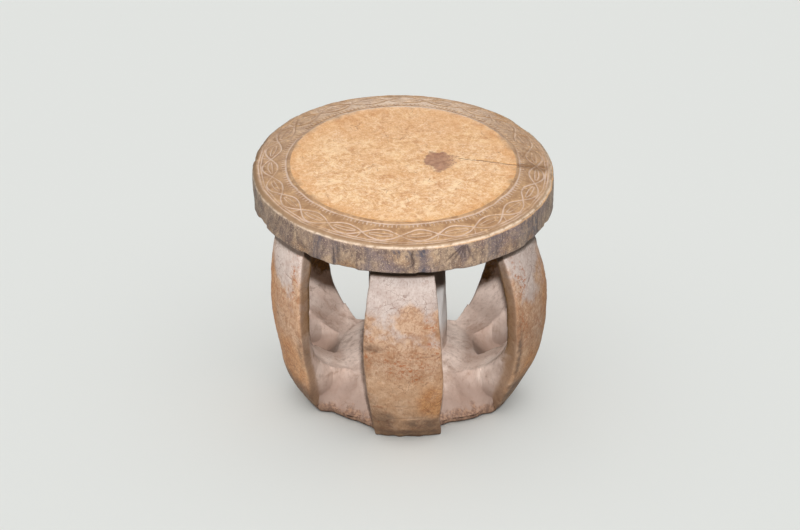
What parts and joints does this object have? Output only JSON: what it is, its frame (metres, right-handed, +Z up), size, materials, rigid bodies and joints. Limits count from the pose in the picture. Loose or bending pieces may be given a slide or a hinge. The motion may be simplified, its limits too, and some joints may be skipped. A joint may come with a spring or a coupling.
{
  "type": "drum table",
  "caption": "Low round drum table in carved wood: thick domed top with a carved border, carried by bowed staves and a centre post over a scooped round foot.",
  "frame": {"origin": "on the floor, under the middle of the round top", "axes": "+Z up along the table's middle line; one stave faces the front, -Y; +X is to the right seen from the front"},
  "size_m": [0.48, 0.48, 0.399],
  "materials": {
    "top_wood": "worn, waxed end grain",
    "stave_wood": "worn, handled surface",
    "inner_wood": "dry, tool-marked surface"
  },
  "bodies": {
    "root": {"table_top": "top_wood", "centre_post": "inner_wood", "scooped_foot": "inner_wood", "front_stave": "stave_wood", "front_left_stave": "stave_wood", "back_left_stave": "stave_wood", "back_stave": "stave_wood", "back_right_stave": "stave_wood", "front_right_stave": "stave_wood"}
  },
  "joints": []
}
